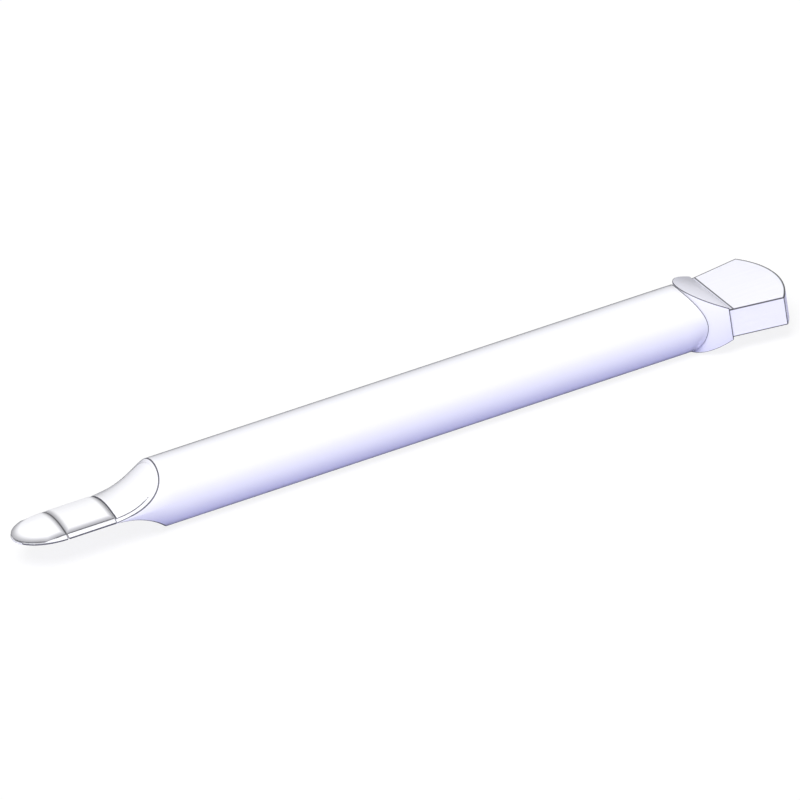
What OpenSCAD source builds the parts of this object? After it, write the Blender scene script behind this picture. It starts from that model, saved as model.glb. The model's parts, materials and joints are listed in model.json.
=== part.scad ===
// Lens cleaning pen: a slim barrel with a flexible padded blade at the front
// and a flat dust brush at the back. Millimetres, +X from the blade to the
// brush, +Z up. The barrel's front datum, where its top line meets the scooped
// neck, is x = 0 inside the model; placed() moves the pen so that its lowest
// line lies on z = 0 under the middle of its length.

/* [Barrel] */
// Outer diameter of the barrel
barrel_d = 10; // [9:0.1:12]
// Length of the barrel's top line, from the neck to the brush collar
barrel_len = 82.2; // [70:0.5:100]
// Wall of the outer sleeve
sleeve_wall = 0.5; // [0.4:0.05:0.7]
// How much the sleeve's rear lobes draw in towards their tips
lobe_draft = 0.1; // [0.05:0.01:0.2]
// Wall of the stiffening liner inside the sleeve
liner_wall = 0.6; // [0.4:0.1:1]

/* [Neck] */
// Length of the scooped neck, from the barrel to the blade
neck_len = 8.1; // [7:0.1:10]
// How far the nose moulding reaches into the sleeve
nose_plug_len = 12; // [8:0.5:16]
// Wall left around the hollow in the nose plug
nose_wall = 1.2; // [0.8:0.1:1.6]
// Thickness of the floor in front of the hollow
nose_floor = 2.4; // [1.6:0.1:3]

/* [Blade] */
// Height of the blade's crown above the barrel's axis
crown_top = 1.25; // [1:0.05:1.6]
// Depth of the blade's flat underside below the axis
blade_under = 0.3; // [0.2:0.05:0.5]
// Height of the floor under the pads above the axis
pad_floor = 0.2; // [0.1:0.05:0.3]
// Length of the middle part of the blade
middle_len = 7.5; // [6:0.1:10]
// Length of the tip of the blade
tip_len = 6.5; // [5.5:0.1:8]
// Gap at each flex line
flex_gap = 0.15; // [0.1:0.01:0.25]

/* [Pads] */
// Width of the bare rim beside the pads
rim_w = 0.7; // [0.5:0.05:1]
// How far a pad stands proud of the rim
pad_proud = 0.15; // [0.1:0.01:0.25]
// Thickness of the microfibre skin
skin_t = 0.4; // [0.3:0.05:0.5]
// Margin of skin around the foam cushion
skin_margin = 0.4; // [0.3:0.05:0.6]

/* [Leaf spring] */
// Width of the leaf spring
leaf_w = 4; // [3:0.1:5]
// Thickness of the leaf spring
leaf_t = 0.16; // [0.12:0.02:0.2]
// Length of the leaf spring inside the nose
leaf_root_len = 7; // [5:0.5:9]
// Diameter of the pins that hold the leaf spring
leaf_pin_d = 0.8; // [0.6:0.1:1]
// Distance from the blade to the first pin
leaf_pin_start = 2.2; // [1.6:0.1:3]
// How far the pins reach into the nose above the spring
leaf_pin_grip = 0.8; // [0.6:0.1:1]
// Distance between the two pins
leaf_pin_pitch = 2.6; // [2:0.1:3]

/* [Brush collar] */
// Radius of the collar's round shoulder, seen from above
shoulder_r = 7; // [6.5:0.1:8]
// Length of the collar, from the barrel's top line to its mouth
collar_len = 4.9; // [4:0.1:6]
// Thickness of the collar at its mouth
mouth_t = 4.94; // [4.4:0.02:5.6]
// Wall beside the bristles
collar_wall = 0.65; // [0.5:0.05:0.9]
// Wall above and below the bristles
collar_roof = 0.55; // [0.4:0.05:0.8]
// Depth of the socket that holds the bristles
socket_depth = 2.9; // [2.5:0.1:3.2]
// Length of the core that fits inside the sleeve
core_len = 1.9; // [1.5:0.1:3]

/* [Brush spigot] */
// Diameter of the spigot that plugs into the barrel
spigot_d = 6.4; // [5.6:0.1:6.8]
// Wall of the hollow spigot
spigot_wall = 1.6; // [1.4:0.1:2]
// Length of the spigot in front of its core
spigot_len = 11; // [9:0.5:14]
// Thickness of each rubber ring
ring_t = 0.9; // [0.8:0.05:1.1]
// Distance from the spigot's end to the first ring
ring_start = 3; // [2:0.5:4]
// Distance between the two rubber rings
ring_pitch = 5; // [4:0.5:6]
// How far the bush runs past the spigot's end
bush_lead = 1; // [0.5:0.1:2]

/* [Bristles] */
// Width of the bristle block where it leaves the collar
bristle_root_w = 13.04; // [12:0.02:13.4]
// Width of the bristle block at its corners
bristle_tip_w = 16.14; // [14:0.02:18]
// Thickness of the bristle block
bristle_t = 4.34; // [4:0.02:4.6]
// Length of the block's straight sides
bristle_side_len = 7.25; // [6:0.05:12]
// Radius of the trimmed end
bristle_end_r = 14.3; // [12:0.1:20]
// Length over which the bristles swell as they leave the collar
bristle_swell = 0.64; // [0.5:0.02:0.8]
// Thickness of the resin that binds the bristles' roots
root_t = 1.1; // [0.8:0.1:1.4]
// Thickness of the steel strip that the tufts are looped over
anchor_t = 0.4; // [0.3:0.05:0.6]
// Height of the steel strip
anchor_h = 1.8; // [1.2:0.1:2.4]
// Diameter of the two legs that pin the anchor strip to the collar
leg_d = 0.9; // [0.7:0.1:1.1]
// How far the legs are driven into the collar
leg_depth = 2.5; // [1.5:0.1:3]
// Distance of each leg from the middle of the brush
leg_y = 3.4; // [2.6:0.1:3.6]

/* [Fits] */
// Sliding clearance, on the radius
slide_gap = 0.05; // [0.02:0.01:0.08]
// Clearance round a piece that is bonded in place
bond_gap = 0.02; // [0.01:0.01:0.04]

/* [Hidden] */
$fn = 96;

white = [0.93, 0.93, 0.98];
soft_white = [0.95, 0.95, 0.96];
steel = [0.72, 0.73, 0.75];
big = 60;
thin = 0.01;
// How far a cutting tool runs past what it cuts.
over = 1;
// Facets of the wide, shallow arcs, and of the rubber rings.
fine = 288;
coarse = 32;

barrel_r = barrel_d / 2;
bore_r = barrel_r - sleeve_wall;
fill_r = bore_r - bond_gap;
half_rim = barrel_r - rim_w;

// Radius of an arc that runs level at one end and has moved by rise after run.
function arc_r(run, rise) = (run * run + rise * rise) / (2 * rise);

// The crown: an arc as wide as the barrel, from the blade's top to its rim.
crown_r = arc_r(barrel_r, crown_top);
scoop_r = arc_r(neck_len, barrel_r - crown_top);
under_r = arc_r(neck_len, barrel_r - blade_under);
dome_r = arc_r(tip_len, crown_top);

// Stations along the barrel's axis.
blade_x = -neck_len;
tip_x = blade_x - middle_len;
end_x = tip_x - tip_len;
collar_x = barrel_len;
mouth_x = collar_x + collar_len;
shoulder_x = collar_x + shoulder_r;
block_x = mouth_x + bristle_swell;
corner_x = block_x + bristle_side_len;
end_sag = bristle_end_r - sqrt(pow(bristle_end_r, 2) - pow(bristle_tip_w / 2, 2));
brush_end_x = corner_x + end_sag;
core_x = collar_x - core_len;
spigot_x = core_x - spigot_len;
socket_x = mouth_x - socket_depth;
bush_x = spigot_x - bush_lead;
mid_x = (end_x + brush_end_x) / 2;

leaf_z = (pad_floor - blade_under) / 2 - leaf_t / 2;
ring_x = [spigot_x + ring_start, spigot_x + ring_start + ring_pitch];
pin_x = [blade_x + leaf_pin_start, blade_x + leaf_pin_start + leaf_pin_pitch];

module placed() {
    translate([-mid_x, 0, barrel_r]) children();
}

// A round bar along X.
module bar(x0, x1, r) {
    translate([x0, 0, 0]) rotate([0, 90, 0]) cylinder(h = x1 - x0, r = r);
}

// A block from one station to another, centred on the axis in Y.
module slab(x0, x1, w, z0, z1) {
    translate([x0, -w / 2, z0]) cube([x1 - x0, w, z1 - z0]);
}

// A round bar that stands along Z.
module post(x, y, r) {
    translate([x, y, -big / 2]) cylinder(h = big, r = r);
}

// Turns a form made about Z so that it lies across the pen, along Y.
module across(x, z) {
    translate([x, 0, z]) rotate([90, 0, 0]) children();
}

// The tool that scoops the neck. It is thinner in the middle, so that the neck keeps a crown.
module scoop() {
    half_w = barrel_r + 2 * over;
    across(blade_x, crown_top + scoop_r)
        rotate_extrude()
            difference() {
                translate([0, -half_w]) square([scoop_r + barrel_r, 2 * half_w]);
                translate([scoop_r + crown_r, 0]) circle(r = crown_r);
                translate([scoop_r + crown_r, -barrel_d]) square([barrel_d, 2 * barrel_d]);
            }
}

// The tool that hollows the underside of the neck.
module underscoop() {
    across(blade_x, -blade_under - under_r)
        cylinder(h = barrel_d * 2, r = under_r, center = true);
}

// Everything inside the scooped neck between two stations, out to radius r.
module neck_body(x0, x1, r) {
    difference() {
        bar(x0, x1, r);
        scoop();
        underscoop();
    }
}

// The crowned bar that the middle of the blade is cut from.
module crowned(x0, x1, swell = 0) {
    translate([0, 0, crown_top - crown_r]) bar(x0, x1, crown_r + swell);
}

// The dome that the tip of the blade is cut from.
module dome(swell = 0) {
    across(tip_x, crown_top - dome_r)
        rotate_extrude($fn = fine)
            intersection() {
                translate([0, -barrel_r - over]) square([2 * dome_r, barrel_d + 2 * over]);
                translate([dome_r - crown_r, 0]) circle(r = crown_r + swell, $fn = fine);
            }
}

// The tip's outline, half an ellipse, seen from above.
module tip_outline(inset) {
    steps = 40;
    rx = tip_len - inset;
    ry = barrel_r - inset;
    linear_extrude(height = barrel_d, center = true)
        polygon([for (i = [0:steps])
                     let (a = 90 + 180 * i / steps)
                     [tip_x + rx * cos(a), ry * sin(a)]]);
}

// A slot for the leaf spring between two stations.
module leaf_slot(x0, x1) {
    slab(x0, x1, leaf_w + 2 * bond_gap, leaf_z - bond_gap, leaf_z + leaf_t + bond_gap);
}

module leaf(x0, x1) {
    slab(x0, x1, leaf_w, leaf_z, leaf_z + leaf_t);
}

// The collar's outer form: a wedge in side view with a round shoulder from above.
module wedge(x1) {
    across(0, 0)
        linear_extrude(height = big, center = true)
            polygon([[collar_x - thin, barrel_r + thin], [collar_x, barrel_r],
                     [mouth_x, mouth_t / 2], [x1, mouth_t / 2],
                     [x1, -mouth_t / 2], [mouth_x, -mouth_t / 2],
                     [collar_x, -barrel_r], [collar_x - thin, -barrel_r - thin]]);
}

// The sleeve's two rear lobes, before the collar's shoulder is cut from them.
module lobes() {
    intersection() {
        translate([collar_x, 0, 0])
            rotate([0, 90, 0])
                cylinder(h = shoulder_r, r1 = barrel_r, r2 = barrel_r - lobe_draft);
        wedge(shoulder_x);
    }
}

module barrel_sleeve() {
    color(white)
        difference() {
            union() {
                neck_body(blade_x, thin, barrel_r);
                bar(0, collar_x, barrel_r);
                lobes();
            }
            bar(blade_x - over, brush_end_x, bore_r);
            post(shoulder_x, 0, shoulder_r);
        }
}

module liner_tube() {
    color(soft_white)
        difference() {
            bar(nose_plug_len + bond_gap, bush_x - bond_gap, fill_r);
            bar(0, collar_x, fill_r - liner_wall);
        }
}

module rear_bush() {
    color(soft_white)
        difference() {
            bar(bush_x, core_x - slide_gap, fill_r);
            bar(0, collar_x, spigot_d / 2 + slide_gap);
        }
}

module nose() {
    color(soft_white)
        difference() {
            union() {
                neck_body(blade_x, thin, fill_r);
                bar(0, nose_plug_len, fill_r);
            }
            bar(nose_floor, nose_plug_len + over, fill_r - nose_wall);
            leaf_slot(blade_x - over, blade_x + leaf_root_len + bond_gap);
            for (x = pin_x)
                translate([x, 0, -barrel_r])
                    cylinder(h = barrel_r + leaf_z + leaf_t + leaf_pin_grip, r = leaf_pin_d / 2 + bond_gap);
        }
}

module leaf_root() {
    color(steel)
        difference() {
            leaf(blade_x, blade_x + leaf_root_len);
            for (x = pin_x) post(x, 0, leaf_pin_d / 2 + bond_gap);
        }
}

// How far the underside of the neck lies below the axis at a station.
function under_z(x) = -blade_under - under_r + sqrt(pow(under_r, 2) - pow(x - blade_x, 2));

module leaf_pins() {
    top_z = leaf_z + leaf_t + leaf_pin_grip - bond_gap;
    color(steel)
        for (x = pin_x)
            translate([x, 0, under_z(x) + bond_gap])
                cylinder(h = top_z - under_z(x) - bond_gap, r = leaf_pin_d / 2);
}

// The rim and floor of a blade part, cut from its outer form.
module blade_base(x0, x1) {
    difference() {
        intersection() {
            children();
            slab(x0, x1, barrel_d, -blade_under, crown_top);
        }
        slab(x0 - over, x1 + over, 2 * half_rim, pad_floor, barrel_r);
        leaf_slot(x0 - over, x1 + over);
    }
}

// A foam cushion's form: the crown less the skin's thickness, inside the skin's margin.
module cushion_form(x0, x1) {
    intersection() {
        children();
        slab(x0 + skin_margin, x1 - skin_margin, 2 * (half_rim - skin_margin), pad_floor, barrel_r);
    }
}

middle_x0 = tip_x + flex_gap / 2;
middle_x1 = blade_x - flex_gap;
tip_x1 = tip_x - flex_gap / 2;

module blade_middle() {
    color(soft_white) blade_base(middle_x0, middle_x1) crowned(middle_x0, middle_x1);
}

module leaf_middle() {
    color(steel) leaf(middle_x0, middle_x1);
}

module middle_cushion_form() {
    cushion_form(middle_x0, middle_x1) crowned(middle_x0, middle_x1, pad_proud - skin_t);
}

module middle_cushion() {
    color("lightgrey") middle_cushion_form();
}

module middle_pad() {
    color(white)
        difference() {
            intersection() {
                crowned(middle_x0, middle_x1, pad_proud);
                slab(middle_x0, middle_x1, 2 * (half_rim - bond_gap), pad_floor, barrel_r);
            }
            middle_cushion_form();
        }
}

module blade_tip() {
    color(soft_white)
        blade_base(end_x, tip_x1)
            intersection() {
                union() {
                    dome();
                    slab(end_x - over, tip_x1, barrel_d, -blade_under, 0);
                }
                tip_outline(0);
            }
}

module leaf_tip() {
    color(steel)
        intersection() {
            leaf(end_x, tip_x1);
            tip_outline(rim_w);
        }
}

module tip_cushion_form() {
    intersection() {
        cushion_form(end_x, tip_x1) dome(pad_proud - skin_t);
        tip_outline(skin_margin * 2);
    }
}

module tip_cushion() {
    color("lightgrey") tip_cushion_form();
}

module tip_pad() {
    color(white)
        difference() {
            intersection() {
                dome(pad_proud);
                slab(end_x, tip_x1, 2 * (half_rim - bond_gap), pad_floor, barrel_r);
                tip_outline(0);
            }
            tip_cushion_form();
        }
}

// The socket in the collar, and with a smaller size what fills it.
module socket_form(x0, x1, gap) {
    intersection() {
        post(shoulder_x, 0, shoulder_r - collar_wall - gap);
        slab(x0, x1, 2 * shoulder_r, -mouth_t / 2 + collar_roof + gap,
             mouth_t / 2 - collar_roof - gap);
    }
}

module ring_at(x, r, t) {
    translate([x, 0, 0]) rotate([0, 90, 0])
        rotate_extrude() translate([r, 0]) circle(r = t / 2, $fn = coarse);
}

ring_mid_r = spigot_d / 2 + slide_gap - bond_gap - ring_t / 2;
leg_tip_x = socket_x - leg_depth;

module leg_bars(r) {
    for (side = [-1, 1])
        translate([0, side * leg_y, 0]) bar(leg_tip_x, anchor_x, r);
}

module brush_collar() {
    color(soft_white)
        difference() {
            union() {
                intersection() {
                    post(shoulder_x, 0, shoulder_r);
                    wedge(mouth_x);
                    slab(collar_x, mouth_x, 2 * shoulder_r, -barrel_r, barrel_r);
                }
                intersection() {
                    bar(core_x, shoulder_x - shoulder_r / 2, bore_r - slide_gap);
                    union() {
                        bar(core_x, collar_x, barrel_r);
                        wedge(mouth_x);
                    }
                }
                bar(spigot_x, core_x + thin, spigot_d / 2);
            }
            socket_form(socket_x, mouth_x + over, 0);
            bar(spigot_x - over, core_x, spigot_d / 2 - spigot_wall);
            for (x = ring_x)
                difference() {
                    bar(x - ring_t / 2 - slide_gap, x + ring_t / 2 + slide_gap, spigot_d);
                    bar(x - ring_t, x + ring_t, ring_mid_r - ring_t / 2 - thin);
                }
            leg_bars(leg_d / 2 + bond_gap);
        }
}

module collar_rings() {
    color("dimgray") for (x = ring_x) ring_at(x, ring_mid_r, ring_t);
}

module anchor_legs() {
    color(steel) leg_bars(leg_d / 2);
}

anchor_x = socket_x + root_t;
anchor_w = 2 * leg_y + leg_d;

// The folded steel strip that the tufts are looped over.
module bristle_anchor() {
    color(steel)
        slab(anchor_x + bond_gap, anchor_x + bond_gap + anchor_t, anchor_w, -anchor_h / 2, anchor_h / 2);
}

module bristle_root() {
    color([0.85, 0.82, 0.7])
        difference() {
            socket_form(socket_x + bond_gap, anchor_x, bond_gap);
            leg_bars(leg_d / 2 + bond_gap);
        }
}

module bristles() {
    root_x = anchor_x + bond_gap;
    inner_t = mouth_t - 2 * (collar_roof + slide_gap);
    color("white")
        difference() {
            intersection() {
                union() {
                    socket_form(root_x, mouth_x, slide_gap);
                    intersection() {
                        linear_extrude(height = barrel_d, center = true)
                            polygon([[mouth_x - thin, -socket_half_w], [block_x, -bristle_root_w / 2],
                                     [brush_end_x + over, -flare_half_w],
                                     [brush_end_x + over, flare_half_w],
                                     [block_x, bristle_root_w / 2], [mouth_x - thin, socket_half_w]]);
                        post(brush_end_x - bristle_end_r, 0, bristle_end_r);
                    }
                }
                across(0, 0)
                    linear_extrude(height = big, center = true)
                        polygon([[root_x, -inner_t / 2], [mouth_x, -inner_t / 2],
                                 [block_x, -bristle_t / 2], [brush_end_x + over, -bristle_t / 2],
                                 [brush_end_x + over, bristle_t / 2], [block_x, bristle_t / 2],
                                 [mouth_x, inner_t / 2], [root_x, inner_t / 2]]);
            }
            slab(root_x - over, anchor_x + anchor_t + 2 * bond_gap, anchor_w + 2 * bond_gap,
                 -anchor_h / 2 - bond_gap, anchor_h / 2 + bond_gap);
        }
}

// Half the width of the bristles at the mouth, and at the end of their flare's line.
socket_half_w = sqrt(pow(shoulder_r - collar_wall - slide_gap, 2) - pow(shoulder_x - mouth_x, 2));
flare = (bristle_tip_w - bristle_root_w) / 2 / bristle_side_len;
flare_half_w = bristle_root_w / 2 + flare * (brush_end_x + over - block_x);

placed() barrel_sleeve();
placed() liner_tube();
placed() rear_bush();
placed() nose();
placed() leaf_root();
placed() leaf_pins();
placed() blade_middle();
placed() leaf_middle();
placed() middle_cushion();
placed() middle_pad();
placed() blade_tip();
placed() leaf_tip();
placed() tip_cushion();
placed() tip_pad();
placed() brush_collar();
placed() collar_rings();
placed() anchor_legs();
placed() bristle_anchor();
placed() bristle_root();
placed() bristles();
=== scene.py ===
"""Dresses the lens cleaning pen: barrel, padded blade and flat dust brush, in metres."""

import json
import logging
import math
from dataclasses import dataclass
from enum import Enum
from typing import Callable

import bmesh
import bpy
from bmesh.types import BMesh, BMVert
from bpy.types import Material, Node, NodeSocket, NodeTree, Object
from mathutils import Matrix, Vector


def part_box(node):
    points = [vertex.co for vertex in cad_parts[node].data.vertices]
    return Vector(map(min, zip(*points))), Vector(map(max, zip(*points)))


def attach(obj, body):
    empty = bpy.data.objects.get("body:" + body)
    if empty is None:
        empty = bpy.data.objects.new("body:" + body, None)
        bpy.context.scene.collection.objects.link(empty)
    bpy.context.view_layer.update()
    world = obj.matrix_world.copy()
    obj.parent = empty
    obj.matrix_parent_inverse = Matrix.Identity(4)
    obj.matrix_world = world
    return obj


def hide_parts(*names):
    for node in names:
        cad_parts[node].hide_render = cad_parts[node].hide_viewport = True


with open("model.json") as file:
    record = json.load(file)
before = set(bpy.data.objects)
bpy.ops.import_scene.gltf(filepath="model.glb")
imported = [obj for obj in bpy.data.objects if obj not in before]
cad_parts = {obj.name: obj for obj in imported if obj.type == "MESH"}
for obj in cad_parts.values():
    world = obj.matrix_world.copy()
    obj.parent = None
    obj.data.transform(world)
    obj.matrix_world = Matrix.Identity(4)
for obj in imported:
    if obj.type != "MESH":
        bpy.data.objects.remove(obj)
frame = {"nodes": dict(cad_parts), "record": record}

LOG = logging.getLogger("lens_pen")
MM = 0.001
Colour = tuple[float, float, float]
Point = tuple[float, float, float]
EdgeRule = Callable[[Vector, Vector], float]

# A Mix node has sockets for every kind of data under the same names, so colours go by number.
COLOUR_INPUTS = (6, 7)
COLOUR_OUTPUT = 2
# The pads' mesh attribute that says how far a point is from the border, in millimetres, which places
# the painted shade along the border.
INSIDE = "inside"
# The group that finds the bristle block's edges, and its node in the bristles' material.
BLOCK_EDGES = "block edges"
# The inputs, in millimetres, that tell that group and the fibres' group how the block is shaped.
BLOCK_SIZES = ("Root X", "Root Half Width", "Flare", "End Centre X", "End Radius", "Middle Z",
               "Half Thickness")


class Surface(Enum):
    """The kinds of surface that the pen's finishes are built from."""

    MOULDED = "moulded plastic"
    RUBBERY = "satin elastomer"
    SUEDE = "split-fibre suede"
    FOAM = "closed-cell foam"
    FIBRE = "brush fibre"
    STEEL = "rolled steel"
    RESIN = "cast resin"


# --- Shader node groups ---


@dataclass(frozen=True)
class Socket:
    """One named socket of a group. One without a value is set where the group is used."""

    name: str
    kind: str = "NodeSocketFloat"
    value: float | None = None
    inward: bool = True


class GroupBuilder:
    """Builds a node group with named sockets and short calls for its nodes."""

    def __init__(self, name: str, tree_type: str, sockets: list[Socket]) -> None:
        """Makes the group and its sockets.

        Args:
            name: The group's name.
            tree_type: ShaderNodeTree or GeometryNodeTree.
            sockets: The sockets, in order.
        """
        self.tree = bpy.data.node_groups.new(name, tree_type)
        for entry in sockets:
            made = self.tree.interface.new_socket(
                entry.name, in_out="INPUT" if entry.inward else "OUTPUT", socket_type=entry.kind
            )
            if entry.value is not None:
                made.default_value = entry.value
        self.start = self.tree.nodes.new("NodeGroupInput")
        self.end = self.tree.nodes.new("NodeGroupOutput")

    def node(self, kind: str, inputs: dict | None = None, **settings: object) -> Node:
        """Adds a node to the group in the way of add_node."""
        return add_node(self.tree, kind, inputs, **settings)

    def maths(self, operation: str, *values: object) -> NodeSocket:
        """Adds a Math node and returns its output."""
        return self.node("ShaderNodeMath", dict(enumerate(values)), operation=operation).outputs[0]

    def noise(self, vector: NodeSocket, size: str, detail: float, roughness: float = 0.5) -> NodeSocket:
        """Adds noise whose patches have the size that one of the group's inputs gives.

        Args:
            vector: Where the noise is read.
            size: The name of that input.
            detail: How many finer layers the noise has.
            roughness: How strong the finer layers are.

        Returns:
            The noise, from 0 to 1.
        """
        scale = self.maths("DIVIDE", 1.0, self.start.outputs[size])
        return self.node("ShaderNodeTexNoise", {
            "Vector": vector, "Scale": scale, "Detail": detail, "Roughness": roughness,
        }).outputs[0]

    def position(self) -> NodeSocket:
        """Adds the place of each point of a geometry."""
        return self.node("GeometryNodeInputPosition").outputs[0]

    def blend(self, first: NodeSocket, second: NodeSocket, share: float) -> NodeSocket:
        """Adds up two values.

        Args:
            first: The value that counts by its share.
            second: The value that counts by what the share leaves.
            share: The first value's share, from 0 to 1.

        Returns:
            The sum.
        """
        rest = self.maths("MULTIPLY", second, 1.0 - share)
        return self.maths("MULTIPLY_ADD", first, share, rest)

    def give(self, **outputs: NodeSocket) -> None:
        """Links sockets to the group's outputs by name, with _ for a space."""
        for name, socket in outputs.items():
            self.tree.links.new(socket, self.end.inputs[name.replace("_", " ")])


def add_node(tree: NodeTree, kind: str, inputs: dict | None = None, **settings: object) -> Node:
    """Adds a node to a tree, sets its properties, and sets or links its inputs.

    Args:
        tree: The tree that gets the node.
        kind: The node's type name.
        inputs: Values or sockets by input name or number.
        **settings: The node's own properties.

    Returns:
        The new node.
    """
    made = tree.nodes.new(kind)
    for name, value in settings.items():
        setattr(made, name, value)
    for key, value in (inputs or {}).items():
        target = made.inputs[key]
        if isinstance(value, NodeSocket):
            tree.links.new(value, target)
        else:
            target.default_value = value
    return made


def set_inputs(node: Node, values: dict[str, object]) -> None:
    """Gives a node's inputs their values, by name."""
    for name, value in values.items():
        node.inputs[name].default_value = value


def object_vector(build: GroupBuilder, stretch: Point = (1.0, 1.0, 1.0)) -> NodeSocket:
    """Adds the object's own coordinates, in millimetres.

    Args:
        build: The group that reads them.
        stretch: What each axis is multiplied by.

    Returns:
        The coordinates.
    """
    place = build.node("ShaderNodeTexCoord").outputs["Object"]
    scale = tuple(part / MM for part in stretch)
    return build.node("ShaderNodeMapping", {"Vector": place, "Scale": scale}).outputs[0]


def make_grain_group() -> NodeTree:
    """Builds the moulding grain: a slow mottle and a fine grain.

    Returns:
        The group.
    """
    build = GroupBuilder("moulding grain", "ShaderNodeTree", [
        Socket("Grain Size"), Socket("Mottle Size", value=6.0),
        Socket("Mottle", inward=False), Socket("Height", inward=False),
    ])
    vector = object_vector(build)
    fine = build.noise(vector, "Grain Size", detail=3.0)
    slow = build.noise(vector, "Mottle Size", detail=2.0)
    build.give(Mottle=slow, Height=fine)
    return build.tree


def make_nap_group() -> NodeTree:
    """Builds the suede nap: a short fibre that lies along the pen, in soft clumps.

    Returns:
        The group.
    """
    build = GroupBuilder("suede nap", "ShaderNodeTree", [
        Socket("Fibre Size"), Socket("Clump Size", value=0.8),
        Socket("Shade", inward=False), Socket("Height", inward=False),
    ])
    vector = object_vector(build, stretch=(1.0, 1.6, 1.0))
    fibre = build.noise(vector, "Fibre Size", detail=4.0, roughness=0.65)
    clump = build.noise(vector, "Clump Size", detail=3.0)
    build.give(Shade=build.blend(clump, fibre, share=0.6), Height=fibre)
    return build.tree


def make_streak_group() -> NodeTree:
    """Builds streaks along the pen: what rolling leaves on steel, and fibres in a brush.

    Returns:
        The group.
    """
    build = GroupBuilder("long streaks", "ShaderNodeTree", [
        Socket("Streak Width"), Socket("Broad Scale", value=1.4),
        Socket("Streak", inward=False), Socket("Height", inward=False),
    ])
    vector = object_vector(build, stretch=(0.04, 1.0, 1.0))
    streak = build.noise(vector, "Streak Width", detail=4.0)
    broad = build.node("ShaderNodeTexNoise", {
        "Vector": vector, "Scale": build.start.outputs["Broad Scale"], "Detail": 2.0,
    }).outputs[0]
    build.give(Streak=build.blend(broad, streak, share=0.4), Height=streak)
    return build.tree


def make_block_edge_group() -> NodeTree:
    """Builds what tells how far a point of the bristle block is from the block's edges.

    An edge is where two of the block's faces meet, so both are near. The end of the shaded stretch
    that swells out of the collar counts as an edge of the block's flat faces. All sizes are in
    millimetres. The two shares, below 1, widen an edge's line on the flat faces and on the sides.
    The distance places the dark lines of painted shade, and the mask marks the stretch, within a
    skin under the flat faces, that takes painted shade past the collar's mouth.

    Returns:
        The group.
    """
    build = GroupBuilder(BLOCK_EDGES, "ShaderNodeTree", [
        *(Socket(name) for name in BLOCK_SIZES), Socket("Mouth Shade End"), Socket("Top Share", value=0.45),
        Socket("Side Share", value=0.6), Socket("Mouth Shade Skin", value=0.15),
        Socket("Distance", inward=False), Socket("In Binding", inward=False),
    ])
    ins, maths = build.start.outputs, build.maths
    here = build.node("ShaderNodeSeparateXYZ", {0: object_vector(build)})
    height = maths("ABSOLUTE", maths("SUBTRACT", here.outputs[2], ins["Middle Z"]))
    aside = maths("ABSOLUTE", here.outputs[1])
    out = maths("SUBTRACT", here.outputs[0], ins["Root X"])
    half = maths("MULTIPLY_ADD", out, ins["Flare"], ins["Root Half Width"])
    reach = maths("SUBTRACT", here.outputs[0], ins["End Centre X"])
    square = maths("MULTIPLY_ADD", reach, reach, maths("MULTIPLY", aside, aside))
    faces = maths("SUBTRACT", ins["Half Thickness"], height)
    sides = maths("SUBTRACT", half, aside)
    end = maths("SUBTRACT", ins["End Radius"], maths("SQRT", square))
    past = maths("SUBTRACT", out, ins["Mouth Shade End"])
    inward = maths("MULTIPLY", maths("MINIMUM", sides, end), ins["Top Share"])
    long_edges = maths("MAXIMUM", maths("MULTIPLY", faces, ins["Side Share"]), inward)
    corner = maths("MAXIMUM", sides, end)
    shaded_stretch = maths("MAXIMUM", maths("ABSOLUTE", past), faces)
    nearest = maths("MINIMUM", long_edges, maths("MINIMUM", corner, shaded_stretch))
    buried = maths("SUBTRACT", faces, ins["Mouth Shade Skin"])
    mouth_shade = maths("LESS_THAN", maths("MAXIMUM", past, buried), 0.0)
    build.give(Distance=nearest, In_Binding=mouth_shade)
    return build.tree


def mix_colours(
    tree: NodeTree, factor: NodeSocket, low: NodeSocket | Colour, high: NodeSocket | Colour
) -> NodeSocket:
    """Adds a Mix node for two colours, each a socket or a plain colour.

    Args:
        tree: The tree that gets the node.
        factor: How much of the second colour shows, from 0 to 1.
        low: The colour at 0.
        high: The colour at 1.

    Returns:
        The mixed colour.
    """
    first, second = (part if isinstance(part, NodeSocket) else (*part, 1.0)
                     for part in (low, high))
    inputs = {"Factor": factor, COLOUR_INPUTS[0]: first, COLOUR_INPUTS[1]: second}
    return add_node(tree, "ShaderNodeMix", inputs, data_type="RGBA").outputs[COLOUR_OUTPUT]


def mix_shaders(
    tree: NodeTree, factor: NodeSocket | float, low: NodeSocket, high: NodeSocket
) -> NodeSocket:
    """Adds a Mix Shader node.

    Args:
        tree: The tree that gets the node.
        factor: How much of the second shader shows, from 0 to 1.
        low: The shader at 0.
        high: The shader at 1.

    Returns:
        The mixed shader.
    """
    return add_node(tree, "ShaderNodeMixShader", {0: factor, 1: low, 2: high}).outputs[0]


class GroupShelf:
    """Builds each shader group once and hands it to every material that asks."""

    makers: dict[str, Callable[[], NodeTree]] = {
        "grain": make_grain_group, "nap": make_nap_group, "streak": make_streak_group,
        BLOCK_EDGES: make_block_edge_group,
    }

    def __init__(self) -> None:
        """Starts with an empty shelf."""
        self.built: dict[str, NodeTree] = {}

    def get(self, name: str) -> NodeTree:
        """Finds a group, and builds it on its first use.

        Args:
            name: The group's name on the shelf.

        Returns:
            The group.
        """
        if name not in self.built:
            self.built[name] = self.makers[name]()
        return self.built[name]


# --- Finishes ---

# How wide the pressed border of a pad is, in millimetres, and the band of painted shade along it.
PAD_BORDER = 0.9


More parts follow.
